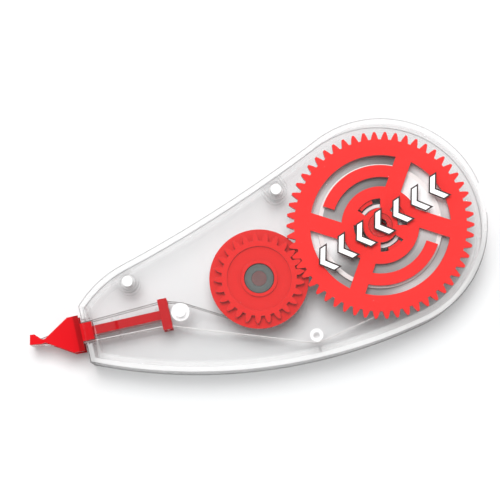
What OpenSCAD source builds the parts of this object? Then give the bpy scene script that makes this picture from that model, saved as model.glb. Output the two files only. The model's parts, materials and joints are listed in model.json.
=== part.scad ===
// Correction tape roller: clear two-part case, geared tape spools and a red applicator.
// The roller lies on its rear cover. The origin is where the supply axis meets the rear face,
// +X points from the applicator tip to the round end, +Z points out of the front cover.

/* [Case] */
// Thickness of the closed case
case_t = 12.4; // [12.4:0.1:14]
// Thickness of the front and rear plates
plate_t = 1.0; // [0.8:0.1:1.2]
// Thickness of the side wall
wall_t = 1.1; // [1.1:0.1:1.4]
// Radius of the round end, about the supply axis
end_r = 19.13; // [19:0.01:20]
// Radius of the hollow upper edge
upper_r = 257; // [240:1:280]
// Radius of the full lower edge
lower_r = 96.8; // [95:0.1:98]
// Radius of the nose above the mouth
nose_r = 20.1; // [20:0.1:21]
// Distance from the supply axis to the mouth face
mouth_x = 55.8; // [55.6:0.1:56]
// Height of the round pad inside the front plate that keeps the supply gear down
pad_h = 0.25; // [0.1:0.05:0.3]
// Height of the narrow step along the foot of the side wall, inside each plate
ledge_h = 0.25; // [0.1:0.05:0.25]

/* [Gears] */
// Gear module
gear_module = 0.6; // [0.6:0.01:0.61]
// Teeth on the supply gear
supply_teeth = 54; // [54]
// Teeth on the take-up gear
take_up_teeth = 25; // [25]
// Pressure angle of the teeth
pressure_angle = 22; // [20:1:22]
// Thickness taken off each tooth for backlash
tooth_relief = 0.06; // [0.04:0.01:0.12]
// Face width of the supply gear
gear_t = 1.5; // [1.2:0.1:1.5]
// Direction from the supply axis to the take-up axis
take_up_dir = 191.04; // [190:0.01:192]

/* [Tape] */
// Width of the correction tape
tape_w = 5; // [4:0.1:5]
// Thickness of the tape in a free run
tape_t = 0.12; // [0.08:0.01:0.12]
// Outer radius of the fresh roll
fresh_r = 14.4; // [10:0.1:14.4]
// Outer radius of the used liner roll
used_r = 8.0; // [7.2:0.1:8.4]

/* [Applicator] */
// Height of the applicator's axis above the supply axis
axis_y = -6.95; // [-7:0.05:-6.9]
// Distance from the supply axis to the tip
tip_x = 65.85; // [65.8:0.05:66.5]
// Half height of the triangular cheeks
cheek_half_h = 3.2; // [2.8:0.05:3.4]
// Width of the stem
stem_w = 1.6; // [1.4:0.1:1.8]
// Half length of the T-bar at the end of the stem
t_bar_half = 2.8; // [2.6:0.1:3]

/* [Hidden] */
$fn = 96;
eps = 0.01;

red = [0.93, 0.16, 0.15];
deep_red = [0.84, 0.12, 0.11];
clear = [0.92, 0.94, 0.96, 0.30];
tape_white = [0.95, 0.95, 0.93];
core_grey = [0.72, 0.73, 0.74];
bush_grey = [0.36, 0.40, 0.40];
liner_grey = [0.55, 0.55, 0.54];

// Levels along Z
inner_z = plate_t;
roof_z = case_t - plate_t;
seam_z = case_t / 2;
gear_top = roof_z - 0.4;
gear_z = gear_top - gear_t;
running_gap = 0.2;
flange_top = gear_z - running_gap;
tape_mid = (inner_z + gear_z + 1.1) / 2;
tape_z = tape_mid - tape_w / 2;
tape_top = tape_mid + tape_w / 2;
cheek_t = 0.7;
guide_gap = 0.2;
cheek_z = tape_z - guide_gap;
cheek_top = tape_top + guide_gap;

// Case outline: three arcs that touch each other, closed by the mouth face
upper_dir = 114.85;
nose_dir = -74.33;
lower_dir = -77.6;
upper_c = (upper_r + end_r) * [cos(upper_dir), sin(upper_dir)];
nose_c = upper_c + (upper_r + nose_r) * [cos(nose_dir), sin(nose_dir)];
lower_c = -(lower_r - end_r) * [cos(lower_dir), sin(lower_dir)];
beyond = 60;

// Case joint: a tongue on the rear cover inside a rebate in the front cover
tongue_t = 0.5;
tongue_h = 0.8;
tongue_fit = 0.03;

// Step along the foot of the side wall, and the shallow finger recess in the round end
ledge_w = 1.05;
recess_d = 0.35;
recess_from = -6;
recess_to = 10.5;

// Round pad with a sloping rim, inside the front plate
pad_r = 9.8;
pad_rim_r = 11.3;

// Mouth for the applicator
mouth_wall = 0.6;
mouth_rib_x = 1.1;
mouth_rib_t = 0.5;
mouth_half = 2.2;
pocket_below = 4.6;
pocket_above = 4.3;
mouth_z = 1.6;
mouth_top = case_t - 2.2;

// Axles
take_up_dist = gear_module * (supply_teeth + take_up_teeth) / 2;
take_up_c = take_up_dist * [cos(take_up_dir), sin(take_up_dir)];
supply_post_r = 2.10;
supply_bore_r = 2.16;
supply_socket_r = 1.20;
supply_pin_r = 1.15;
take_up_post_r = 1.35;
bush_bore_r = 1.36;
bush_r = 2.60;
spool_bore_r = 2.68;
boss_h = 0.4;
boss_gap = 0.1;
bearing_in = 3.35;
bearing_out = 3.95;
bearing_top = gear_z - 0.5;
bush_top = gear_top - 0.5;

// Snap pins and the guards around them
snap_pin_r = 0.95;
snap_fit = 0.02;
snap_ring_r = 2.06;
snap_boss_r = 1.35;
pin_top = roof_z - 1;
guide_top = tape_top + 0.5;
socket_z = seam_z + 0.5;
snap_wall = 0.5;
guard_h = 3;
snap_a = [-46.34, 0.17];
snap_b = [-16.80, 10.50];
snap_guards = [[snap_a, 108], [snap_b, 115]];
liner_guide = [-38.31, -7.22];
liner_guide_r = 1.65;
tape_guide = [-15.43, -16.60];
tape_guide_r = 1.2;
guide_rib = 6;
snap_pins = [snap_a, snap_b];

// Small locating pegs and the rib that holds the stem
peg_r = 0.25;
peg_y = 1.25;
peg_xs = [-50.6, -42.5];
stem_rib_x = -49.8;
stem_rib_t = 0.6;
stem_rib_half = 2.3;

// Supply gear windows, clutch arms and snap legs
hub_r = 3.1;
window_in = 6.97;
window_out = 12.6;
spoke_dir = 58;
spoke_w = 2.9;
bar_dir = -30.5;
bar_low = 1.7;
bar_high = 4.75;
arm_in = 8.67;
arm_out = 10.83;
arm_end = 149;
pawl_r = 0.55;
pawl_h = running_gap;
hub_window_out = 4.8;
hub_window_from = 77.7;
hub_window_to = 135;
leg_in = 4.15;
leg_out = 4.92;
leg_from = 96;
leg_to = 130;
leg_drop = 0.8;
barb_r = 5.5;
barb_h = 0.6;
pawl_c = (arm_in + arm_out) / 2 * [cos(arm_end - 5), sin(arm_end - 5)];

// Supply core
core_bore_r = 5.0;
core_r = 7.2;
core_z = 2.7;
core_flange_r = 11.2;
core_flange_t = 0.6;
core_top = gear_z - pawl_h - boss_gap;
core_rail = [5.9, 6.7];
barb_z = core_z - boss_gap - barb_h;

// Take-up spool
drum_r = 7.0;
drum_wall = 0.8;
spool_flange_r = 8.93;
spool_lower_r = 8.3;
spool_flange_t = 0.6;
spool_z = inner_z + boss_h + boss_gap;
hub_ring_r = 3.3;
face_groove_r = 5.75;
face_drop = 0.6;

// Applicator
cheek_apex_x = -63.1;
cheek_kink_x = -58.35;
cheek_end_x = -56.4;
collar_end_x = -54.2;
collar_half = 1.6;
collar_z = 1.9;
collar_top = case_t - 2.7;
blade_half = 1.2;
neck_half = 0.17;
blade_root_x = -55.3;
stem_z = 3.0;
stem_top = 8.6;
t_bar_x = -41.1;
t_bar_r = 0.85;
t_bar_end_y = 1.45;
t_bar_waist = 0.12;
slot_bar_y = 2.45;
slot_bar_r = 0.3;
lip_t = 0.5;
fan_top_y = 1.65;

// Tape route: rollers and guides that it touches, each with its own contact radius
tape_off = 0.09;
t_low = [t_bar_x, axis_y - slot_bar_y];
t_high = [t_bar_x, axis_y + t_bar_end_y];
low_turn_r = -(slot_bar_r + tape_off);
high_turn_r = t_bar_r + tape_off;
guide_turn_r = tape_guide_r + tape_off;
liner_turn_r = liner_guide_r + tape_off;
collar_turn_x = cheek_end_x + 0.35;
collar_low = [collar_turn_x, axis_y - blade_half];
collar_high = [collar_turn_x, axis_y + blade_half];
collar_turn_r = collar_half - blade_half + 0.15;
tip_r = 0.17;
tip_c = [-(tip_x - 0.26), axis_y];
tip_turn_r = tip_r + tape_off;
loop_end_x = t_bar_x + t_bar_r + 0.15;
run_end_x = loop_end_x + 0.1;

function polar(c, r, a) = c + r * [cos(a), sin(a)];
function arc(c, r, a0, a1, n) = [for (i = [0:n]) polar(c, r, a0 + (near(a1, a0) - a0) * i / n)];
function near(a, ref) = a - 360 * round((a - ref) / 360);
function heading(a, b) = atan2(b.y - a.y, b.x - a.x);
function unit(v) = v / norm(v);

// Angle of the points where a straight strand touches two guides on the same side.
// A negative radius for the second guide makes the strand cross over to its other side.
function contact(c1, r1, c2, r2, side) = heading(c1, c2) + side * acos((r1 - r2) / norm(c2 - c1));

// Point of the line from a to b at the given x
function at_x(a, b, x) = a + (b - a) * (x - a.x) / (b.x - a.x);

// Outline of a thin strip of thickness t along a list of points
function normal_at(p, i) =
    let (d = unit(p[min(i + 1, len(p) - 1)] - p[max(i - 1, 0)]))
    [-d.y, d.x];
function strip(p, t) = concat(
    [for (i = [0:len(p) - 1]) p[i] + normal_at(p, i) * t / 2],
    [for (i = [len(p) - 1:-1:0]) p[i] - normal_at(p, i) * t / 2]
);

// Half angle of an involute tooth at radius r
function involute(a) = tan(a) * 180 / PI - a;
function tooth_half(teeth, r) =
    let (
        pitch_r = gear_module * teeth / 2,
        base_r = pitch_r * cos(pressure_angle),
        at_pitch = 90 / teeth - tooth_relief / 2 / pitch_r * 180 / PI
    )
    at_pitch + involute(pressure_angle) - (r > base_r ? involute(acos(base_r / r)) : 0);

module gear_outline(teeth, phase) {
    pitch_r = gear_module * teeth / 2;
    root_r = pitch_r - 1.25 * gear_module;
    tip_r = pitch_r + gear_module;
    steps = 4;
    flank = [for (i = [0:steps]) root_r + (tip_r - root_r) * i / steps];
    polygon([
        for (k = [0:teeth - 1])
            let (mid = phase + 360 * k / teeth)
            each concat(
                [for (r = flank) polar([0, 0], r, mid - tooth_half(teeth, r))],
                [for (i = [steps:-1:0]) polar([0, 0], flank[i], mid + tooth_half(teeth, flank[i]))]
            )
    ]);
}

// Case outline, moved inward by d
module case_outline(d) {
    upper_end = polar([0, 0], end_r - d, upper_dir);
    nose_end = polar(nose_c, nose_r - d, nose_dir + 180);
    lower_end = polar([0, 0], end_r + beyond / 10, lower_dir);
    circle(r = end_r - d);
    intersection() {
        translate(lower_c) circle(r = lower_r - d);
        union() {
            difference() {
                polygon([
                    [0, 0], upper_end, nose_end, nose_c,
                    [nose_c.x, -beyond], [lower_end.x, -beyond], lower_end
                ]);
                translate(upper_c) circle(r = upper_r + d);
            }
            intersection() {
                translate(nose_c) circle(r = nose_r - d);
                translate([-mouth_x + d, -beyond / 2]) square([beyond, beyond]);
            }
        }
    }
}

module slab(z0, z1) {
    translate([0, 0, z0]) linear_extrude(z1 - z0) children();
}

module disc(c, r, z0, z1) {
    translate([c.x, c.y, z0]) cylinder(r = r, h = z1 - z0);
}

module block(x0, x1, y0, y1, z0, z1) {
    translate([x0, y0, z0]) cube([x1 - x0, y1 - y0, z1 - z0]);
}

// Ring section between two radii, two levels and two angles
module sector(r0, r1, z0, z1, a0, a1) {
    rotate([0, 0, a0])
        rotate_extrude(angle = a1 - a0)
            translate([r0, z0]) square([r1 - r0, z1 - z0]);
}

// Round-ended guard around a snap pin, open towards the side wall
module guard(c, dir, z0, z1) {
    slab(z0, z1)
        intersection() {
            case_outline(wall_t / 2);
            difference() {
                guard_shape(c, dir, snap_ring_r);
                guard_shape(c, dir, snap_ring_r - snap_wall);
            }
        }
}

module guard_shape(c, dir, r) {
    translate(c) {
        circle(r = r);
        rotate(dir) translate([0, -r]) square([2 * guard_h, 2 * r]);
    }
}

// Rib behind the mouth face, which frames the pocket on each side of the applicator
module mouth_rib(z0, z1) {
    slab(z0, z1)
        intersection() {
            case_outline(wall_t / 2);
            translate([-mouth_x + mouth_rib_x, -beyond / 2]) square([mouth_rib_t, beyond]);
        }
}

module mouth_cut(z0, z1) {
    inner_x = -mouth_x + mouth_rib_x + mouth_rib_t;
    block(-mouth_x - 1, inner_x + 1, axis_y - mouth_half, axis_y + mouth_half, z0, z1);
}

// Side wall, thinner at the mouth
module side_wall(z0, z1) {
    slab(z0, z1)
        difference() {
            case_outline(0);
            intersection() {
                case_outline(mouth_wall);
                union() {
                    case_outline(wall_t);
                    translate([-mouth_x, axis_y - pocket_below])
                        square([wall_t + 1, pocket_below + pocket_above]);
                }
            }
        }
}

// Narrow step inside the side wall
module ledge(z0, z1) {
    slab(z0, z1)
        difference() {
            case_outline(wall_t / 2);
            case_outline(wall_t + ledge_w);
        }
}

module pegs(z0, z1) {
    for (x = peg_xs)
        for (side = [-1, 1])
            disc([x, axis_y + side * peg_y], peg_r, z0, z1);
}

module rear_cover() {
    color(clear)
        difference() {
            union() {
                slab(0, plate_t) case_outline(0);
                side_wall(0, seam_z);
                slab(seam_z - 1, seam_z + tongue_h)
                    difference() {
                        case_outline(wall_t - tongue_t);
                        case_outline(wall_t);
                    }
                mouth_rib(inner_z - eps, seam_z);
                ledge(inner_z - eps, inner_z + ledge_h);
                disc([0, 0], supply_post_r, inner_z - eps, gear_top - running_gap);
                disc([0, 0], hub_r, inner_z - eps, inner_z + boss_h);
                sector(bearing_in, bearing_out, inner_z - eps, bearing_top, 0, 360);
                sector(core_rail[0], core_rail[1], inner_z - eps, core_z - running_gap, 0, 360);
                disc(take_up_c, take_up_post_r, inner_z - eps, bush_top);
                disc(take_up_c, hub_ring_r, inner_z - eps, inner_z + boss_h);
                for (c = snap_pins) {
                    disc(c, snap_boss_r, inner_z - eps, seam_z);
                    disc(c, snap_pin_r, inner_z - eps, pin_top);
                }
                disc(liner_guide, liner_guide_r, inner_z - eps, guide_top);
                disc(liner_guide, snap_pin_r, inner_z - eps, pin_top);
                disc(tape_guide, tape_guide_r, inner_z - eps, guide_top);
                for (g = snap_guards) guard(g[0], g[1], inner_z - eps, inner_z + guard_h);
                block(
                    stem_rib_x - stem_rib_t / 2, stem_rib_x + stem_rib_t / 2,
                    axis_y - stem_rib_half, axis_y + stem_rib_half, inner_z - eps, stem_z - guide_gap
                );
                pegs(inner_z - eps, seam_z);
            }
            mouth_cut(mouth_z, case_t);
            disc([0, 0], supply_socket_r, seam_z, case_t);
            disc(tape_guide, tape_guide_r / 2, seam_z, case_t);
        }
}

module front_cover() {
    color(clear)
        difference() {
            union() {
                slab(roof_z, case_t) case_outline(0);
                translate([0, 0, roof_z - pad_h]) cylinder(r1 = pad_r, r2 = pad_rim_r, h = pad_h);
                side_wall(seam_z, case_t);
                mouth_rib(seam_z, roof_z + eps);
                ledge(roof_z - ledge_h, roof_z + eps);
                disc([0, 0], supply_pin_r, socket_z, roof_z + eps);
                for (c = snap_pins) disc(c, snap_boss_r, seam_z, roof_z + eps);
                disc(liner_guide, liner_guide_r, tape_top + 0.5, roof_z + eps);
                disc(tape_guide, tape_guide_r, tape_top + 0.5, roof_z + eps);
                disc(tape_guide, tape_guide_r / 2 - snap_fit, socket_z, roof_z + eps);
                for (g = snap_guards) guard(g[0], g[1], roof_z - guard_h, roof_z + eps);
                slab(guide_top, roof_z + eps)
                    intersection() {
                        case_outline(wall_t / 2);
                        translate([tape_guide.x - snap_wall / 2, tape_guide.y - guide_rib])
                            square([snap_wall, guide_rib]);
                    }
                block(
                    stem_rib_x - stem_rib_t / 2, stem_rib_x + stem_rib_t / 2,
                    axis_y - stem_rib_half, axis_y + stem_rib_half, stem_top + guide_gap, roof_z + eps
                );
                pegs(seam_z, roof_z + eps);
            }
            mouth_cut(0, mouth_top);
            sector(end_r - recess_d, end_r + 1, 0, case_t + 1, recess_from, recess_to);
            slab(seam_z - eps, seam_z + tongue_h + tongue_fit)
                difference() {
                    case_outline(wall_t - tongue_t - tongue_fit);
                    case_outline(wall_t + eps);
                }
            for (c = snap_pins) disc(c, snap_pin_r + snap_fit, 0, pin_top + eps);
            disc(liner_guide, snap_pin_r + snap_fit, 0, pin_top + eps);
        }
}

module supply_gear() {
    color(red) {
        slab(gear_z, gear_top)
            difference() {
                gear_outline(supply_teeth, take_up_dir + 180 / supply_teeth);
                gear_windows();
                for (turn = [0:90:270]) rotate(turn) hub_window();
                circle(r = supply_bore_r);
            }
        difference() {
            disc([0, 0], hub_r, inner_z + boss_h + boss_gap, gear_top);
            disc([0, 0], supply_bore_r, 0, case_t);
        }
        for (turn = [0:90:270])
            rotate(turn) {
                sector(leg_in, leg_out, barb_z, gear_top - leg_drop, leg_from, leg_to);
                sector(leg_out - eps, barb_r, barb_z, barb_z + barb_h, leg_from, leg_to);
            }
        for (turn = [0, 180])
            rotate(turn) disc(pawl_c, pawl_r, gear_z - pawl_h, gear_z + eps);
    }
}

// Two plain windows, and two C-shaped ones that leave the clutch arms free at one end
module gear_windows() {
    difference() {
        circle(r = window_out);
        circle(r = window_in);
        rotate(spoke_dir) translate([-window_out - 1, -spoke_w / 2]) square([2 * window_out + 2, spoke_w]);
        for (turn = [0, 180])
            rotate(turn) {
                rotate(bar_dir) translate([0, bar_low]) square([window_out + 1, bar_high - bar_low]);
                clutch_arm();
            }
    }
}

module clutch_arm() {
    intersection() {
        difference() {
            circle(r = arm_out);
            circle(r = arm_in);
        }
        rotate(spoke_dir) wedge(arm_end - spoke_dir);
    }
}

// Sector of the given angle from the +X direction, less than half a turn
module wedge(angle) {
    reach = 2 * window_out;
    polygon([[0, 0], [reach, 0], polar([0, 0], reach, angle / 2), polar([0, 0], reach, angle)]);
}

module hub_window() {
    intersection() {
        difference() {
            circle(r = hub_window_out);
            circle(r = hub_r);
        }
        rotate(hub_window_from) wedge(hub_window_to - hub_window_from);
    }
}

module supply_core() {
    color(core_grey) {
        sector(core_bore_r, core_r, core_z, core_top, 0, 360);
        sector(core_r - eps, core_flange_r, core_top - core_flange_t, core_top, 0, 360);
    }
}

module supply_tape_roll() {
    color(tape_white) sector(core_r, fresh_r, tape_z, tape_top, 0, 360);
}

module take_up_spool() {
    dish_z = gear_top - face_drop;
    color(deep_red)
        translate(take_up_c) {
            sector(spool_bore_r, hub_ring_r, spool_z, gear_top, 0, 360);
            sector(drum_r - drum_wall, drum_r, spool_z, flange_top, 0, 360);
            sector(drum_r - drum_wall, spool_lower_r, spool_z, spool_z + spool_flange_t, 0, 360);
            sector(hub_ring_r - eps, spool_flange_r, flange_top - spool_flange_t, flange_top, 0, 360);
            sector(hub_ring_r - eps, face_groove_r + eps, flange_top - eps, dish_z, 0, 360);
            slab(flange_top - eps, gear_top)
                difference() {
                    gear_outline(take_up_teeth, take_up_dir + 180);
                    circle(r = face_groove_r);
                }
        }
}

module take_up_bush() {
    color(bush_grey)
        translate(take_up_c) sector(bush_bore_r, bush_r, inner_z + boss_h, bush_top, 0, 360);
}

module used_liner_roll() {
    color(liner_grey)
        translate(take_up_c) sector(drum_r, used_r, tape_z, tape_top, 0, 360);
}

module cheek_outline() {
    polygon([
        [cheek_apex_x, axis_y - neck_half - 0.1], [cheek_kink_x, axis_y - cheek_half_h],
        [cheek_end_x, axis_y - cheek_half_h - 0.1], [cheek_end_x, axis_y + cheek_half_h],
        [cheek_kink_x, axis_y + cheek_half_h], [cheek_apex_x, axis_y + neck_half + 0.1]
    ]);
}

// Small fan that keeps the tape on the tip, flat below and rounded above
module fan_outline() {
    polygon([
        [-tip_x, axis_y - 0.1], [cheek_apex_x - 0.65, axis_y - 0.4], [cheek_apex_x + 0.3, axis_y - 0.25],
        [cheek_apex_x + 0.3, axis_y + 0.25], [cheek_apex_x - 0.65, axis_y + 0.45],
        [cheek_apex_x - 0.97, axis_y + 0.95], [cheek_apex_x - 1.55, axis_y + fan_top_y - 0.1],
        [-tip_x + 0.4, axis_y + fan_top_y]
    ]);
}

module blade_outline() {
    polygon([
        [blade_root_x, axis_y - blade_half], [blade_root_x, axis_y + blade_half],
        [cheek_apex_x, axis_y + neck_half], [tip_c.x, axis_y + tip_r],
        [tip_c.x, axis_y - tip_r], [cheek_apex_x, axis_y - neck_half]
    ]);
    translate(tip_c) circle(r = tip_r);
}

// T-bar between its lips: the used tape passes over its top, the fresh tape through the slot above the bar
module t_bar_outline() {
    translate(t_low) circle(r = slot_bar_r);
    translate(t_high) circle(r = t_bar_r);
    translate([t_bar_x - t_bar_r, axis_y - t_bar_end_y]) square([2 * t_bar_r - t_bar_waist, 2 * t_bar_end_y]);
}

module applicator() {
    collar_y = [axis_y - collar_half, axis_y + collar_half];
    color(red) {
        slab(cheek_z - eps, cheek_top + eps) blade_outline();
        for (z = [cheek_z - cheek_t, cheek_top]) slab(z, z + cheek_t) cheek_outline();
        for (z = [cheek_z - lip_t, cheek_top]) {
            slab(z, z + lip_t) fan_outline();
            slab(z, z + lip_t)
                translate([t_bar_x - t_bar_r, axis_y - t_bar_half]) square([2 * t_bar_r, 2 * t_bar_half]);
        }
        slab(cheek_z - eps, cheek_top + eps) t_bar_outline();
        block(cheek_end_x - eps, collar_end_x, collar_y[0], collar_y[1], collar_z, collar_top);
        block(collar_end_x - eps, t_bar_x, axis_y - stem_w / 2, axis_y + stem_w / 2, stem_z, stem_top);
    }
}

// Points of the tape's route, from the fresh roll round the tip to the used roll
leave_a = contact([0, 0], fresh_r, tape_guide, guide_turn_r, 1);
guide_a = contact(tape_guide, guide_turn_r, t_low, low_turn_r, 1);
low_a = contact(t_low, low_turn_r, collar_low, collar_turn_r, 1);
to_tip_a = contact(collar_low, collar_turn_r, tip_c, tip_turn_r, 1);
from_tip_a = contact(tip_c, tip_turn_r, collar_high, collar_turn_r, 1);
high_a = contact(collar_high, collar_turn_r, t_high, high_turn_r, 1);
cross_a = contact(t_high, high_turn_r, liner_guide, liner_turn_r, 1);
wind_a = contact(liner_guide, liner_turn_r, take_up_c, -used_r, 1);

function fresh_at(x) = at_x(polar(tape_guide, guide_turn_r, guide_a), polar(t_low, low_turn_r, guide_a), x);
function used_at(x) = at_x(polar(t_high, high_turn_r, cross_a), polar(liner_guide, liner_turn_r, cross_a), x);

fresh_route = concat(
    [polar([0, 0], fresh_r + tape_t / 2, leave_a)],
    arc(tape_guide, guide_turn_r, leave_a, guide_a, 4),
    [fresh_at(run_end_x)]
);
tip_route = concat(
    [fresh_at(loop_end_x)],
    arc(t_low, low_turn_r, guide_a, low_a, 3),
    arc(collar_low, collar_turn_r, low_a, to_tip_a, 2),
    arc(tip_c, tip_turn_r, to_tip_a, from_tip_a, 10),
    arc(collar_high, collar_turn_r, from_tip_a, high_a, 2),
    arc(t_high, high_turn_r, high_a, cross_a, 4),
    [used_at(loop_end_x)]
);
used_route = concat(
    [used_at(run_end_x)],
    arc(liner_guide, liner_turn_r, cross_a, wind_a, 3),
    [polar(take_up_c, -used_r - tape_t / 2, wind_a)]
);

module tape_run(route) {
    slab(tape_z, tape_top) polygon(strip(route, tape_t));
}

module fresh_tape_run() {
    color(tape_white) tape_run(fresh_route);
}

module tip_tape_loop() {
    color(tape_white) tape_run(tip_route);
}

module used_liner_run() {
    color(liner_grey) tape_run(used_route);
}

rear_cover();
front_cover();
supply_gear();
supply_core();
supply_tape_roll();
take_up_spool();
take_up_bush();
used_liner_roll();
applicator();
fresh_tape_run();
tip_tape_loop();
used_liner_run();
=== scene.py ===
"""Correction tape roller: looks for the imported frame.

Lengths inside the helper functions are in millimetres; mm() turns them into Blender's metres.
"""
import json
import math
import random

import bmesh
import bpy
from mathutils import Matrix, Vector
from mathutils.kdtree import KDTree


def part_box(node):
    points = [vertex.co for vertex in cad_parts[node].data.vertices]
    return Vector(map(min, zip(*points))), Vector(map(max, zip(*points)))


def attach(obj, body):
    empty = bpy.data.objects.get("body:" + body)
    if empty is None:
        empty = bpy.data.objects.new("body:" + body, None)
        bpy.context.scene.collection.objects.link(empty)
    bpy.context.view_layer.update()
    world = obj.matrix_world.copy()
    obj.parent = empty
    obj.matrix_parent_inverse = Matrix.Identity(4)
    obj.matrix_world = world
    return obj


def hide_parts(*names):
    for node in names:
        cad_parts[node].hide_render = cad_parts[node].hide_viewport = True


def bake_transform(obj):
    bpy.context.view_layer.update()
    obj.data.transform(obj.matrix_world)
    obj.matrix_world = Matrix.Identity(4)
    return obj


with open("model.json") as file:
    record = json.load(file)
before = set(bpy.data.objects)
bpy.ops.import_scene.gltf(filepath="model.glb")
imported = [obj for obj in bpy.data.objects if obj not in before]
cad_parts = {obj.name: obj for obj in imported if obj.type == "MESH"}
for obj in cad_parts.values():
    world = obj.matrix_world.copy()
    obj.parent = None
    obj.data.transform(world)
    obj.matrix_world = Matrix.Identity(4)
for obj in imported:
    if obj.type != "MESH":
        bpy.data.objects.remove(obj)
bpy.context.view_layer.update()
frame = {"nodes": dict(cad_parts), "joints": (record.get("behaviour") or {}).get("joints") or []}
nodes = frame["nodes"]
scene = bpy.context.scene


def mm(*values):
    """Millimetres to metres: one number, or a vector of several."""
    return values[0] / 1000 if len(values) == 1 else Vector(values) / 1000


def polar(centre, radius, degrees):
    """Point at a distance from a centre in a direction."""
    turn = math.radians(degrees)
    return Vector((centre[0] + radius * math.cos(turn), centre[1] + radius * math.sin(turn)))


def box_mm(node):
    """Lowest and highest corner of a CAD node in mm."""
    return [Vector(corner) * 1000 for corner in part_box(node)]


# ---------------------------------------------------------------- sizes in mm, from the frame
CASE_T = box_mm("front_cover")[1].z
SEAM_Z = box_mm("front_cover")[0].z
ROLL_LOW, ROLL_HIGH = box_mm("supply_tape_roll")
TAPE_Z, TAPE_TOP, FRESH_R = ROLL_LOW.z, ROLL_HIGH.z, ROLL_HIGH.x
GEAR_TOP = box_mm("supply_gear")[1].z
JOINTS = {joint["name"]: joint for joint in frame["joints"]}
TAKE_UP = Vector(JOINTS["take_up_spin"]["pos_m"][:2]) * 1000
SUPPLY = Vector((0, 0))
SPOOL_LOW, SPOOL_HIGH = box_mm("used_liner_roll")
USED_R = (SPOOL_HIGH.x - SPOOL_LOW.x) / 2
TIP_X = -box_mm("applicator")[0].x

# sizes in mm, the same as in part.scad
PLATE_T = 1.0
WALL_T = 1.1
ROOF_Z = CASE_T - PLATE_T
END_R, UPPER_R, LOWER_R, NOSE_R = 19.13, 257.0, 96.8, 20.1
UPPER_DIR, NOSE_DIR, LOWER_DIR = 114.85, -74.33, -77.6
MOUTH_X = 55.8
CORE_R = 7.2
DRUM_R = 7.0
AXIS_Y = -6.95
TAPE_T = 0.12
TAPE_OFF = 0.09
SNAP_A, SNAP_B = Vector((-46.34, 0.17)), Vector((-16.80, 10.50))
LINER_GUIDE, LINER_GUIDE_R = Vector((-38.31, -7.22)), 1.65
TAPE_GUIDE, TAPE_GUIDE_R = Vector((-15.43, -16.60)), 1.2
T_BAR_X, T_BAR_R, T_BAR_END, SLOT_BAR_Y, SLOT_BAR_R = -41.1, 0.85, 1.45, 2.45, 0.3
BLADE_HALF, COLLAR_HALF, COLLAR_X, TIP_R = 1.2, 1.6, -56.05, 0.17


# ---------------------------------------------------------------- materials
def new_material(name):
    """A material with an empty node tree: the material, the tree and its output."""
    mat = bpy.data.materials.new(name)
    mat.use_nodes = True
    tree = mat.node_tree
    tree.nodes.clear()
    out = tree.nodes.new("ShaderNodeOutputMaterial")
    return mat, tree, out


def add(tree, kind, settings=None, **inputs):
    """A new node; settings are its properties, and inputs its sockets, with _ for a space."""
    node = tree.nodes.new(kind)
    for key, value in (settings or {}).items():
        setattr(node, key, value)
    for key, value in inputs.items():
        node.inputs[key.replace("_", " ")].default_value = value
    return node


def feed(tree, value, socket):
    """Gives an input a value: another node's output, or a plain number or colour."""
    if isinstance(value, bpy.types.NodeSocket):
        tree.links.new(value, socket)
    else:
        socket.default_value = value


def calculate(tree, operation, *values):
    """Output of a Math node."""
    node = add(tree, "ShaderNodeMath", {"operation": operation})
    for value, socket in zip(values, node.inputs):
        feed(tree, value, socket)
    return node.outputs[0]


def map_range(tree, value, low, high, start=0.0, end=1.0, curve="LINEAR"):
    """Output that goes from low to high as the value goes from start to end."""
    node = add(tree, "ShaderNodeMapRange", {"interpolation_type": curve})
    for key, number in (("From Min", start), ("From Max", end), ("To Min", low), ("To Max", high)):
        node.inputs[key].default_value = number
    tree.links.new(value, node.inputs["Value"])
    return node.outputs[0]


def scaled(tree, colour, strength):
    """Output of a colour made stronger or weaker."""
    node = add(tree, "ShaderNodeVectorMath", {"operation": "SCALE"})
    feed(tree, colour, node.inputs[0])
    feed(tree, strength, node.inputs["Scale"])
    return node.outputs[0]


def mixed(tree, share, first, second):
    """Output of a blend of two colours."""
    node = add(tree, "ShaderNodeMix", {"data_type": "RGBA"})
    for value, socket in ((share, node.inputs["Factor"]), (first, node.inputs[6]), (second, node.inputs[7])):
        feed(tree, value, socket)
    return node.outputs[2]


def parts(tree, vector):
    """Outputs X, Y and Z of a vector."""
    node = add(tree, "ShaderNodeSeparateXYZ")
    tree.links.new(vector, node.inputs[0])
    return node.outputs


def grey_ramp(tree, value, stops, curve="LINEAR", red=1.0):
    """Output of a ramp of greys from (position, brightness) pairs in order; red tints them."""
    node = add(tree, "ShaderNodeValToRGB")
    bands = node.color_ramp
    bands.interpolation = curve
    bands.elements.remove(bands.elements[-1])
    for i, (place, bright) in enumerate(stops):
        stop = bands.elements[0] if i == 0 else bands.elements.new(place)
        stop.position = place
        stop.color = (bright * red, bright, bright, 1)
    tree.links.new(value, node.inputs[0])
    return node.outputs[0]


def mirror_share(tree, least, most):
    """Share of light a clear plastic face mirrors, the same from inside as from outside."""
    facing = add(tree, "ShaderNodeLayerWeight", Blend=0.5)
    glancing = calculate(tree, "POWER", facing.outputs["Facing"], 5.0)
    return calculate(tree, "MULTIPLY_ADD", glancing, most - least, least)


def across_case(tree, low, high):
    """Output that goes from low along the case's full edge to high along its hollow edge, for tints and hazes
    that paint shade and light differently on the two edges.
    """
    full_edge_y, hollow_edge_y = mm(-12.0), mm(-2.0)
    place = parts(tree, add(tree, "ShaderNodeTexCoord").outputs["Object"])
    return map_range(tree, place["Y"], low, high, full_edge_y, hollow_edge_y, "SMOOTHSTEP")


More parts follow.
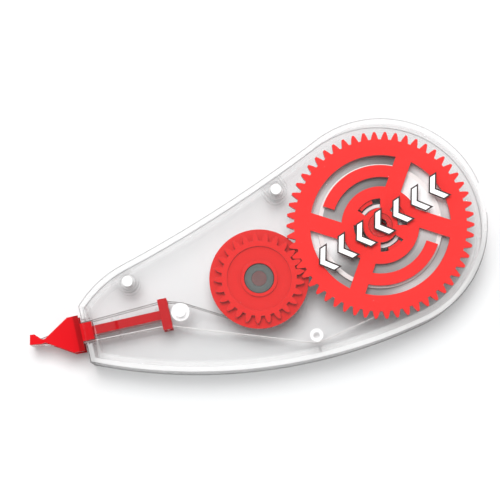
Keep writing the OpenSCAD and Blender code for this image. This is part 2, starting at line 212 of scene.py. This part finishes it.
def clear_plastic(name, tint, haze=0.0, least=0.02, most=1.0, tint_high=None, haze_high=None):
    """Thin clear plastic: each face lets most light straight through and mirrors the rest.

    tint_high and haze_high are the tint and haze along the case's hollow edge, where they differ: painted
    shade and light, with the walls and back plate darker and the rim milkier along the full edge.
    """
    mat, tree, out = new_material(name)
    link = tree.links.new
    through = add(tree, "ShaderNodeBsdfTransparent", Color=(tint, tint, tint, 1))
    if tint_high:
        link(across_case(tree, tint, tint_high), through.inputs[0])
    if haze:
        milk = add(tree, "ShaderNodeBsdfDiffuse", Color=(0.95, 0.95, 0.95, 1))
        cloud = add(tree, "ShaderNodeMixShader", Fac=haze)
        if haze_high:
            link(across_case(tree, haze, haze_high), cloud.inputs[0])
        link(through.outputs[0], cloud.inputs[1])
        link(milk.outputs[0], cloud.inputs[2])
        through = cloud
    shine = add(tree, "ShaderNodeBsdfGlossy", Color=(1, 1, 1, 1), Roughness=0.04)
    mix = add(tree, "ShaderNodeMixShader")
    link(mirror_share(tree, least, most), mix.inputs[0])
    link(through.outputs[0], mix.inputs[1])
    link(shine.outputs[0], mix.inputs[2])
    link(mix.outputs[0], out.inputs[0])
    return mat


def roughen(tree, body, height, strength):
    """Gives a shader a fine relief."""
    bump = add(tree, "ShaderNodeBump", Strength=strength, Distance=mm(0.02))
    tree.links.new(height, bump.inputs["Height"])
    tree.links.new(bump.outputs[0], body.inputs["Normal"])


def moulded(name, colour, roughness=0.35, subsurface=0.05, side=0.5, along=None):
    """Satin moulded plastic with a faint grain, and painted shade: its upright faces take the colour times
    side.

    along is a list of (x in mm, strength of the colour from there on), used to paint shade along X.
    """
    mat, tree, out = new_material(name)
    link = tree.links.new
    coords = add(tree, "ShaderNodeTexCoord")
    grain = add(tree, "ShaderNodeTexNoise", Scale=4200.0, Detail=2.0)
    mottle = add(tree, "ShaderNodeTexNoise", Scale=260.0, Detail=3.0)
    link(coords.outputs["Object"], grain.inputs["Vector"])
    link(coords.outputs["Object"], mottle.inputs["Vector"])
    face = colour
    if along:
        first, last = along[0][0], along[-1][0]
        place = map_range(tree, parts(tree, coords.outputs["Object"])["X"], 0, 1, mm(first), mm(last))
        stops = [((x - first) / (last - first), strength) for x, strength in along]
        face = scaled(tree, colour, grey_ramp(tree, place, stops))
    face = scaled(tree, face, map_range(tree, mottle.outputs[0], 0.94, 1.04))
    level = calculate(tree, "ABSOLUTE", parts(tree, coords.outputs["Normal"])["Z"])
    body = add(tree, "ShaderNodeBsdfPrincipled", Roughness=roughness, IOR=1.48)
    body.inputs["Subsurface Weight"].default_value = subsurface
    body.inputs["Subsurface Radius"].default_value = (0.0012, 0.0003, 0.0002)
    body.inputs["Subsurface Scale"].default_value = 1
    # painted shade: upright faces get the colour times side, level faces the full colour, blended by the
    # normal's Z part
    link(mixed(tree, level, (*(side * c for c in colour), 1), face), body.inputs["Base Color"])
    roughen(tree, body, grain.outputs[0], 0.12)
    link(body.outputs[0], out.inputs[0])
    return mat


def round_axis(tree, centre):
    """Outputs of the place round an axis: its angle as a share of a turn from -180, and its radius."""
    coords = add(tree, "ShaderNodeTexCoord")
    shift = add(tree, "ShaderNodeMapping")
    shift.inputs["Location"].default_value = (-mm(centre[0]), -mm(centre[1]), 0)
    tree.links.new(coords.outputs["Object"], shift.inputs[0])
    place = parts(tree, shift.outputs[0])
    angle = calculate(tree, "ARCTAN2", place["Y"], place["X"])
    turn = calculate(tree, "MULTIPLY_ADD", angle, 0.5 / math.pi, 0.5)
    flat = add(tree, "ShaderNodeCombineXYZ")
    tree.links.new(place["X"], flat.inputs[0])
    tree.links.new(place["Y"], flat.inputs[1])
    radius = add(tree, "ShaderNodeVectorMath", {"operation": "LENGTH"})
    tree.links.new(flat.outputs[0], radius.inputs[0])
    return turn, radius.outputs["Value"]


def film_ends(name, stops, centre=SUPPLY, rim=None):
    """Ends of wound film: fine rings, and a painted silvery sheen in the colour that comes and goes round the
    axis.

    stops are (angle, brightness) pairs of the painted sheen; rim is (radius, brightness) of a lighter outer
    band.
    """
    mat, tree, out = new_material(name)
    link = tree.links.new
    turn, radius = round_axis(tree, centre)
    places = [((degrees + 180) / 360, bright) for degrees, bright in stops]
    # painted sheen: the colour's brightness is set by the angle round the axis
    sheen = grey_ramp(tree, turn, places, "EASE", red=0.98)
    rings = add(tree, "ShaderNodeTexNoise", {"noise_dimensions": "1D"}, Scale=9000.0, Detail=3.0)
    link(radius, rings.inputs["W"])
    colour = scaled(tree, sheen, map_range(tree, rings.outputs[0], 0.80, 1.16))
    if rim:
        (rim_r, bright), blur = rim, 0.05
        edge = map_range(tree, radius, 0, 1, mm(rim_r - blur), mm(rim_r + blur))
        colour = mixed(tree, edge, colour, (bright, bright * 0.985, bright * 0.97, 1))
    body = add(tree, "ShaderNodeBsdfPrincipled", Roughness=0.42, Anisotropic=0.6)
    link(colour, body.inputs["Base Color"])
    roughen(tree, body, rings.outputs[0], 0.4)
    link(body.outputs[0], out.inputs[0])
    return mat


CLEAR = clear_plastic("clear_polystyrene", 1.0)
PLATE = clear_plastic("clear_polystyrene_plate", 0.995, haze=0.018)
# painted shade: the back plate is darker along the full edge than along the hollow edge
BACK_PLATE = clear_plastic("clear_polystyrene_back_plate", 0.955, haze=0.018, tint_high=1.0)
# painted shade: the outer wall is tinted dark, most along the full edge, so it looks dark there and casts a
# deeper shadow
OUTER_WALL = clear_plastic("clear_polystyrene_outer_wall", 0.52, most=0.15, tint_high=0.93)
INNER_WALL = clear_plastic("clear_polystyrene_inner_wall", 0.99, haze=0.01, most=0.15)
# painted shade: upright faces at the mouth and round the snap posts are tinted darker, drawing the dark lines
# refraction makes there
CORNER_WALL = clear_plastic("clear_polystyrene_corner_wall", 0.88, haze=0.04, most=0.3)
# painted shade: a dark tint on the rounded outer edge draws the dark line that refraction makes there
EDGE = clear_plastic("clear_polystyrene_edge", 0.60, haze=0.02, least=0.045)
# painted light: milky haze whitens the rim top, the seam and the ledge in place of their bright look, more
# along the full edge
RIM_TOP = clear_plastic("clear_polystyrene_rim_top", 1.0, haze=0.34, haze_high=0.24)
RIM = clear_plastic("clear_polystyrene_rim", 1.0, haze=0.30, haze_high=0.06)
LEDGE = clear_plastic("clear_polystyrene_ledge", 1.0, haze=0.20, haze_high=0.05)
POST_END = clear_plastic("clear_polystyrene_post_end", 1.0, haze=0.90)
RED_POST = moulded("post_seen_through_red_hub", (0.62, 0.030, 0.028), 0.15)
DARK_POST = moulded("post_seen_through_grey_bush", (0.17, 0.095, 0.092), 0.15)
RED_GEAR = moulded("red_gear_acetal", (0.82, 0.022, 0.019))
RED_SPOOL = moulded("red_spool_acetal", (0.70, 0.020, 0.018))
# painted shade along X: the head darkens towards its end by the collar, with a dark band across that end;
# from x -54.2 on, along the stem, the colour is weaker
RED_APPLICATOR = moulded("red_applicator_acetal", (0.66, 0.005, 0.010), along=[
    (-62, 1.0), (-58.4, 0.95), (-57.5, 0.88), (-57.2, 0.50), (-56.4, 0.50), (-56.3, 0.95), (-54.6, 0.9),
    (-54.2, 0.72), (-40, 0.72)
])
BUSH = moulded("grey_bush", (0.12, 0.14, 0.135))
TAPE = clear_plastic("white_tape_film", 0.99, haze=0.10, most=0.2)
TAPE_EDGE = moulded("white_tape_edge", (0.80, 0.78, 0.77), 0.5, 0)
LINER = clear_plastic("used_liner_film", 0.96, haze=0.02, most=0.3)
LINER_EDGE = moulded("used_liner_edge", (0.05, 0.045, 0.04), 0.4, 0)
PRINT_WHITE = moulded("white_print", (0.93, 0.93, 0.93), 0.5, 0)
PRINT_DARK = moulded("dark_print", (0.05, 0.035, 0.035), 0.5, 0)
# painted sheen: the film ends' brightness is set by the angle round their axis, here and in CORE and
# LINER_ROLL below
ROLL = film_ends("fresh_roll_film", [
    (-180, 0.95), (-165, 0.95), (-135, 0.36), (-105, 0.38), (-75, 0.70), (-25, 0.46),
    (25, 0.95), (68, 0.22), (110, 0.46), (150, 0.72), (179.5, 0.95)
])
CORE = film_ends("silver_core", [
    (-180, 0.75), (-172, 0.95), (-138, 0.26), (-100, 0.36), (-60, 0.42), (-20, 0.62),
    (8, 0.98), (38, 0.98), (68, 0.20), (110, 0.27), (150, 0.35), (179.5, 0.75)
], rim=(10.4, 0.88))
LINER_ROLL = film_ends("used_liner_ends", [(-180, 0.5), (0, 0.6), (179.5, 0.5)], TAKE_UP)


def paint(obj, *mats):
    """Gives an object its materials, in place of any it has."""
    obj.data.materials.clear()
    for mat in mats:
        obj.data.materials.append(mat)


def smooth(obj, angle=30):
    """Shades an object smooth, but for edges sharper than the angle in degrees."""
    obj.data.shade_smooth()
    obj.data.set_sharp_from_angle(angle=math.radians(angle))


def soften(node, width, mat):
    """Rounds a CAD node's sharp edges with modifiers and gives it a material."""
    obj = nodes[node]
    obj.data.shade_smooth()
    weld(obj)
    flat = obj.modifiers.new("flat", "DECIMATE")
    flat.decimate_type = "DISSOLVE"
    flat.angle_limit = math.radians(0.6)
    edge = obj.modifiers.new("edge", "BEVEL")
    edge.width = mm(width)
    edge.segments = 3
    edge.limit_method = "ANGLE"
    edge.angle_limit = math.radians(40)
    edge.harden_normals = True
    paint(obj, mat)


def new_object(name, points, faces):
    """Mesh object from points in mm."""
    mesh = bpy.data.meshes.new(name)
    mesh.from_pydata([mm(*p) for p in points], [], faces)
    mesh.validate()
    obj = bpy.data.objects.new(name, mesh)
    scene.collection.objects.link(obj)
    return obj


def face_outward(obj):
    """Turns every face of a closed mesh outward."""
    mesh = bmesh.new()
    mesh.from_mesh(obj.data)
    bmesh.ops.recalc_face_normals(mesh, faces=mesh.faces)
    mesh.to_mesh(obj.data)
    mesh.free()


def weld(obj):
    """Joins the points that the CAD mesh repeats at its face edges."""
    modifier = obj.modifiers.new("weld", "WELD")
    modifier.merge_threshold = 1e-7


def stack(levels):
    """Points and faces of a solid from closed loops of equal length: a list of (loop, z)."""
    count = len(levels[0][0])
    points = [(x, y, z) for loop, z in levels for x, y in loop]
    faces = [list(range(count))[::-1]]
    for k in range(len(levels) - 1):
        for i in range(count):
            j = (i + 1) % count
            faces.append((k * count + i, k * count + j, (k + 1) * count + j, (k + 1) * count + i))
    faces.append([(len(levels) - 1) * count + i for i in range(count)])
    return points, faces


# ---------------------------------------------------------------- case covers
UPPER_C = (UPPER_R + END_R) * polar((0, 0), 1, UPPER_DIR)
NOSE_C = UPPER_C + (UPPER_R + NOSE_R) * polar((0, 0), 1, NOSE_DIR)
LOWER_C = -(LOWER_R - END_R) * polar((0, 0), 1, LOWER_DIR)


def arc(centre, radius, start, end, count):
    """Points along an arc between two directions in degrees."""
    return [polar(centre, radius, start + (end - start) * i / count) for i in range(count + 1)]


def outline(inset):
    """The case's outline in mm, moved inward, always with the same number of points."""
    mouth = -MOUTH_X + inset
    nose_r, lower_r = NOSE_R - inset, LOWER_R - inset
    nose_end = math.degrees(math.acos((mouth - NOSE_C.x) / nose_r))
    lower_start = -math.degrees(math.acos((mouth - LOWER_C.x) / lower_r))
    loop = arc(SUPPLY, END_R - inset, LOWER_DIR, UPPER_DIR, 120)
    loop += arc(UPPER_C, UPPER_R + inset, UPPER_DIR - 180, NOSE_DIR, 60)[1:]
    loop += arc(NOSE_C, nose_r, NOSE_DIR + 180, nose_end, 40)[1:]
    corner, steps = polar(LOWER_C, lower_r, lower_start), 24
    loop += [loop[-1].lerp(corner, i / steps) for i in range(1, steps)]
    loop += arc(LOWER_C, lower_r, lower_start, LOWER_DIR, 100)[:-1]
    return loop


def case_envelope():
    """The closed case's outer shape: rounded edges, then a hardly visible slope over the rim."""
    inset, edge_r, steps, sink = 0.02, 0.40, 6, 0.010
    quarter = [math.pi / 2 * i / steps for i in range(steps + 1)]
    round_edge = [(inset + edge_r * (1 - math.sin(t)), edge_r * (1 - math.cos(t)) + sink) for t in quarter]
    slope = [(WALL_T + 0.6, -0.012), (WALL_T, -0.001)]
    low = slope + round_edge
    profile = low + [(d, CASE_T - z) for d, z in reversed(low)]
    return new_object("case_envelope", *stack([(outline(d), z) for d, z in profile]))


FINISHES = [
    CLEAR, PLATE, BACK_PLATE, OUTER_WALL, INNER_WALL, CORNER_WALL, EDGE, RIM_TOP, RIM, LEDGE, POST_END,
    RED_POST, DARK_POST
]
POST_FACES = [
    (SUPPLY, 2.2, RED_POST), (SUPPLY, 4.0, POST_END), (TAKE_UP, 1.4, DARK_POST), (SNAP_A, 1.4, POST_END),
    (SNAP_B, 1.4, POST_END), (LINER_GUIDE, LINER_GUIDE_R, POST_END), (TAPE_GUIDE, TAPE_GUIDE_R, POST_END)
]
RIM_W = 2.2  # how far in from the outline the rim and its ledge reach
MOUTH_DEEP, MOUTH_HALF = -54.0, 2.3
SNAP_REACH = 3.2
PIN_R = 1.2
SKIN = 0.15  # an upright face this close to the outline is the outer wall
ROUND_EDGE = 0.3  # a sloping face this close to the outline is the rounded edge
FACE_DEPTH = 0.06  # a face this close to the front or the back is the outside of a plate
RIM_SINK = 0.0008  # the outside is sunk by more than this over the rim, and by less elsewhere
PLATE_NEAR = 0.5  # a level face this close to a plate's inside is the plate or the ledge
FLAT = 0.985  # a face whose normal's Z part is at least this is shaded flat
UPRIGHT, LEVEL = 0.3, 0.9  # size of a face normal's Z part: below is upright, above is level


def outline_tree(pitch=0.05):
    """Search tree of points close together along the case's outline."""
    loop = outline(0)
    points = []
    for a, b in zip(loop, loop[1:] + loop[:1]):
        pieces = math.ceil((b - a).length / pitch)
        points += [a + (b - a) * i / pieces for i in range(pieces)]
    tree = KDTree(len(points))
    for i, p in enumerate(points):
        tree.insert((p.x, p.y, 0), i)
    tree.balance()
    return tree


OUTER_EDGE = outline_tree()


def edge_distance(x, y):
    """Distance in mm from a point to the case's outline."""
    return OUTER_EDGE.find((x, y, 0))[2]


def wall_finish(x, y):
    """Finish of an upright face."""
    if edge_distance(x, y) < SKIN:
        return OUTER_WALL
    by_snap = min((Vector((x, y)) - snap).length for snap in (SNAP_A, SNAP_B)) < SNAP_REACH
    return CORNER_WALL if x < MOUTH_DEEP or by_snap else INNER_WALL


def level_finish(x, y, z, up):
    """Finish of a level face inside the case; up says whether it looks up or down."""
    at_rim = edge_distance(x, y) < RIM_W
    if z < PLATE_T + PLATE_NEAR:
        return LEDGE if at_rim else BACK_PLATE
    if z > ROOF_Z - PLATE_NEAR:
        return LEDGE if at_rim else PLATE
    if up:
        for post, radius, finish in POST_FACES:
            if (Vector((x, y)) - post).length < radius:
                return finish
        return CLEAR if at_rim else RIM
    if at_rim and z < SEAM_Z + 1:
        return RIM
    return RED_POST if math.hypot(x, y) < PIN_R else CLEAR


def cover_finish(centre, normal):
    """Finish of one face of a clear cover, by its place and direction."""
    x, y, z = centre * 1000
    if z > SEAM_Z and x < MOUTH_DEEP and abs(y - AXIS_Y) < MOUTH_HALF:
        return CLEAR
    if abs(normal.z) < UPRIGHT:
        return wall_finish(x, y)
    if not FACE_DEPTH <= z <= CASE_T - FACE_DEPTH:
        return CLEAR if min(z, CASE_T - z) < RIM_SINK else RIM_TOP
    if abs(normal.z) < LEVEL:
        return EDGE if edge_distance(x, y) < ROUND_EDGE else CLEAR
    return level_finish(x, y, z, normal.z > 0)


def rounded_cover(node, envelope):
    """A cover with the CAD cover's shape, its outer edges rounded, and a finish for each kind of face."""
    source = nodes[node]
    obj = bpy.data.objects.new(node + "_clear", source.data.copy())
    scene.collection.objects.link(obj)
    weld(obj)
    cut = obj.modifiers.new("cut", "BOOLEAN")
    cut.operation = "INTERSECT"
    cut.solver = "EXACT"
    cut.object = envelope
    graph = bpy.context.evaluated_depsgraph_get()
    obj.data = bpy.data.meshes.new_from_object(obj.evaluated_get(graph))
    obj.modifiers.clear()
    paint(obj, *FINISHES)
    smooth(obj)
    for face in obj.data.polygons:
        face.material_index = FINISHES.index(cover_finish(face.center, face.normal))
        face.use_smooth = abs(face.normal.z) < FLAT
    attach(obj, "case")
    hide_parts(node)
    return obj


def build_covers():
    envelope = case_envelope()
    bpy.context.view_layer.update()
    for node in ("rear_cover", "front_cover"):
        rounded_cover(node, envelope)
    bpy.data.objects.remove(envelope, do_unlink=True)


# ---------------------------------------------------------------- rolls of tape
def wound_roll(name, body, node, centre, inner, outer, mat):
    """A lathed roll whose windings stand proud by different amounts."""
    chance = random.Random(7)
    pitch, segments = 0.15, 192
    rings = round((outer - inner) / pitch)
    radii = [inner + (outer - inner) * i / rings for i in range(rings + 1)]
    profile = []
    for lower, upper in zip(radii, radii[1:]):
        depth = 0.01 + 0.03 * chance.random()
        profile += [(lower + 0.02, depth), (upper - 0.02, depth), (upper, depth + 0.03)]
    profile[0], profile[-1] = (inner, profile[0][1]), (outer, profile[-1][1])
    section = [(r, TAPE_TOP - d) for r, d in profile] + [(r, TAPE_Z + d) for r, d in reversed(profile)]
    points, faces = [], []
    for k in range(segments):
        for r, z in section:
            points.append((*polar(centre, r, 360 * k / segments), z))
    count = len(section)
    for k in range(segments):
        for i in range(count):
            a, b = k * count, (k + 1) % segments * count
            j = (i + 1) % count
            faces.append((a + i, a + j, b + j, b + i))
    obj = new_object(name, points, faces)
    paint(obj, mat)
    smooth(obj, 60)
    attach(obj, body)
    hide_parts(node)


# ---------------------------------------------------------------- free runs of tape
def contact(c1, r1, c2, r2):
    """Direction from each guide's centre to where a straight strand touches both guides."""
    gap = Vector(c2) - Vector(c1)
    return math.degrees(math.atan2(gap.y, gap.x) + math.acos((r1 - r2) / gap.length))


def bend(centre, radius, start, end, count):
    end -= 360 * round((end - start) / 360)
    return arc(centre, radius, start, end, count)


def tape_routes():
    """Centre lines of the fresh tape, roll to tip, and of the used liner, tip to roll."""
    low = Vector((T_BAR_X, AXIS_Y - SLOT_BAR_Y))
    high = Vector((T_BAR_X, AXIS_Y + T_BAR_END))
    collar_low = Vector((COLLAR_X, AXIS_Y - BLADE_HALF))
    collar_high = Vector((COLLAR_X, AXIS_Y + BLADE_HALF))
    tip_r = TIP_R + TAPE_OFF
    tip = Vector((tip_r - TIP_X, AXIS_Y))
    collar_gap = 0.15
    collar_r = COLLAR_HALF - BLADE_HALF + collar_gap
    low_r, high_r = -(SLOT_BAR_R + TAPE_OFF), T_BAR_R + TAPE_OFF
    guide_r, liner_r = TAPE_GUIDE_R + TAPE_OFF, LINER_GUIDE_R + TAPE_OFF
    leave = contact(SUPPLY, FRESH_R, TAPE_GUIDE, guide_r)
    guide = contact(TAPE_GUIDE, guide_r, low, low_r)
    at_low = contact(low, low_r, collar_low, collar_r)
    to_tip = contact(collar_low, collar_r, tip, tip_r)
    from_tip = contact(tip, tip_r, collar_high, collar_r)
    at_high = contact(collar_high, collar_r, high, high_r)
    cross = contact(high, high_r, LINER_GUIDE, liner_r)
    wind = contact(LINER_GUIDE, liner_r, TAKE_UP, -USED_R)
    turn = bend(tip, tip_r, to_tip, from_tip, 16)
    fresh = [polar(SUPPLY, FRESH_R + TAPE_T / 2, leave)]
    fresh += bend(TAPE_GUIDE, guide_r, leave, guide, 12)
    fresh += bend(low, low_r, guide, at_low, 5)
    fresh += bend(collar_low, collar_r, at_low, to_tip, 5)
    fresh += turn[:9]
    used = turn[8:]
    used += bend(collar_high, collar_r, from_tip, at_high, 5)
    used += bend(high, high_r, at_high, cross, 10)
    used += bend(LINER_GUIDE, liner_r, cross, wind, 8)
    used.append(polar(TAKE_UP, -USED_R - TAPE_T / 2, wind))
    return fresh, used


def ribbon(name, route, thickness, mats, replaced):
    """A film along a route, cut into short pieces between the turns.

    mats are the finishes of its two sides and of its cut edges.
    """
    shortest, piece_length = 0.01, 0.8
    line = [route[0]]
    for a, b in zip(route, route[1:]):
        if (b - a).length < shortest:
            continue
        pieces = max(1, round((b - a).length / piece_length))
        line += [a + (b - a) * i / pieces for i in range(1, pieces + 1)]
    count = len(line)
    points = []
    for i, p in enumerate(line):
        along = (line[min(i + 1, count - 1)] - line[max(i - 1, 0)]).normalized()
        side = Vector((-along.y, along.x)) * thickness / 2
        points += [(*(p + side), TAPE_TOP), (*(p - side), TAPE_TOP)]
        points += [(*(p - side), TAPE_Z), (*(p + side), TAPE_Z)]
    faces = [(3, 2, 1, 0), tuple(4 * (count - 1) + i for i in range(4))]
    for k in range(count - 1):
        a = 4 * k
        faces += [(a + i, a + (i + 1) % 4, a + 4 + (i + 1) % 4, a + 4 + i) for i in range(4)]
    obj = new_object(name, points, faces)
    face_outward(obj)
    paint(obj, *mats)
    for face in obj.data.polygons:
        face.material_index = int(abs(face.normal.z) > LEVEL)
    smooth(obj, 40)
    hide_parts(*replaced)
    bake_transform(obj)


def build_tape():
    fresh, used = tape_routes()
    film_t = 0.10
    ribbon("fresh_tape", fresh, film_t, (TAPE, TAPE_EDGE), ["fresh_tape_run", "tip_tape_loop"])
    ribbon("used_liner", used, film_t, (LINER, LINER_EDGE), ["used_liner_run"])
    wound_roll("fresh_roll", "supply_spool", "supply_tape_roll", SUPPLY, CORE_R, FRESH_R, ROLL)
    wound_roll("liner_roll", "take_up", "used_liner_roll", TAKE_UP, DRUM_R, USED_R, LINER_ROLL)


# ---------------------------------------------------------------- printed direction mark
def offset_loop(loop, grow):
    """A convex or hollow polygon, every side moved outward by the same amount."""
    result = []
    for i, p in enumerate(loop):
        before, after = (p - loop[i - 1]).normalized(), (loop[(i + 1) % len(loop)] - p).normalized()
        out = Vector((before.y, -before.x)) + Vector((after.y, -after.x))
        result.append(p + out * grow * 2 / max(out.length_squared, 0.6))
    return result


def build_print():
    """A row of plain chevrons that shows which way to pull, white with a dark edge."""
    direction, shift, dark_edge = 20.5, 1.3, 0.26
    half, lean, stroke, pitch, number = 2.2, 1.5, 1.0, 3.9, 7
    foot, dark_top, white_top = CASE_T - 0.002, CASE_T + 0.012, CASE_T + 0.020
    along = polar((0, 0), 1, direction)
    across = Vector((-along.y, along.x))
    chevron = [(0, half), (-stroke, half), (-stroke - lean, 0), (-stroke, -half), (0, -half), (-lean, 0)]
    points, faces, kinds = [], [], []
    for k in range(number):
        middle = pitch * (k - (number - 1) / 2) + shift
        loop = [along * (x + middle) + across * y for x, y in chevron]
        for kind, grow, top in ((0, dark_edge, dark_top), (1, 0, white_top)):
            flat = offset_loop(loop, grow)
            start = len(points)
            solid, sides = stack([(flat, foot), (flat, top)])
            points += solid
            faces += [[start + i for i in side] for side in sides]
            kinds += [kind] * len(sides)
    obj = new_object("direction_mark", points, faces)
    face_outward(obj)
    paint(obj, PRINT_DARK, PRINT_WHITE)
    for face, kind in zip(obj.data.polygons, kinds):
        face.material_index = kind
    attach(obj, "case")


soften("supply_gear", 0.07, RED_GEAR)
soften("take_up_spool", 0.07, RED_SPOOL)
soften("applicator", 0.10, RED_APPLICATOR)
soften("supply_core", 0.08, CORE)
soften("take_up_bush", 0.08, BUSH)
build_covers()
build_tape()
build_print()


# ---------------------------------------------------------------- stage, lights and camera
def build_stage():
    """A plain pale floor just below the roller."""
    half, drop = 3.0, mm(0.02)
    corners = [(-half, -half, -drop), (half, -half, -drop), (half, half, -drop), (-half, half, -drop)]
    mesh = bpy.data.meshes.new("floor")
    mesh.from_pydata(corners, [], [(0, 1, 2, 3)])
    floor = bpy.data.objects.new("floor", mesh)
    scene.collection.objects.link(floor)
    mat, tree, out = new_material("floor_white")
    body = add(tree, "ShaderNodeBsdfPrincipled", Roughness=0.9)
    body.inputs["Base Color"].default_value = (0.780, 0.789, 0.794, 1)
    body.inputs["Specular IOR Level"].default_value = 0.1
    tree.links.new(body.outputs[0], out.inputs[0])
    paint(floor, mat)


def area_light(name, place, target, size, power):
    """A round lamp that lights the object and isn't seen in it."""
    data = bpy.data.lights.new(name, "AREA")
    data.shape = "DISK"
    data.size = size
    data.energy = power
    lamp = bpy.data.objects.new(name, data)
    lamp.location = place
    lamp.rotation_euler = (Vector(target) - Vector(place)).to_track_quat("-Z", "Y").to_euler()
    lamp.visible_camera = False
    lamp.visible_glossy = False
    scene.collection.objects.link(lamp)


PICTURE_TURN = math.radians(12.68)  # the roller's +X lies this far anticlockwise in the picture
PICTURE_RIGHT = Vector((math.cos(PICTURE_TURN), -math.sin(PICTURE_TURN), 0))
PICTURE_UP = Vector((math.sin(PICTURE_TURN), math.cos(PICTURE_TURN), 0))
UP = Vector((0, 0, 1))


def build_lights():
    """A studio that is white at the horizon and dark overhead, and one soft key lamp from above."""
    world = bpy.data.worlds.new("studio")
    scene.world = world
    world.use_nodes = True
    tree = world.node_tree
    back = tree.nodes["Background"]
    coords = add(tree, "ShaderNodeTexCoord")
    sky = grey_ramp(tree, parts(tree, coords.outputs["Generated"])["Z"], [(0, 1), (0.70, 0.85), (0.93, 0.10)])
    tree.links.new(sky, back.inputs[0])
    back.inputs[1].default_value = 0.86
    middle = mm(-24, 0, 6)
    key = middle + (-0.05 * PICTURE_RIGHT + 0.14 * PICTURE_UP + 0.80 * UP)
    area_light("key", key, middle, 0.34, 6.3)


def build_camera():
    """A camera nearly straight above the roller."""
    data = bpy.data.cameras.new("camera")
    distance, width, sensor = 0.450, 0.08929, 36
    data.lens = sensor * distance / width
    data.sensor_width = sensor
    cam = bpy.data.objects.new("camera", data)
    target = mm(-23.742, 0.75, GEAR_TOP)
    tilt = math.radians(5)
    back = math.cos(tilt) * UP - math.sin(tilt) * PICTURE_UP
    cam.location = target + distance * back
    right = PICTURE_RIGHT
    true_up = back.cross(right)
    turn = Matrix((right, true_up, back)).transposed()
    cam.rotation_euler = turn.to_euler()
    data.clip_start, data.clip_end = 0.01, 10
    scene.collection.objects.link(cam)
    scene.camera = cam


build_stage()
build_lights()
build_camera()
scene.view_settings.view_transform = "Standard"
scene.cycles.transparent_max_bounces = 32
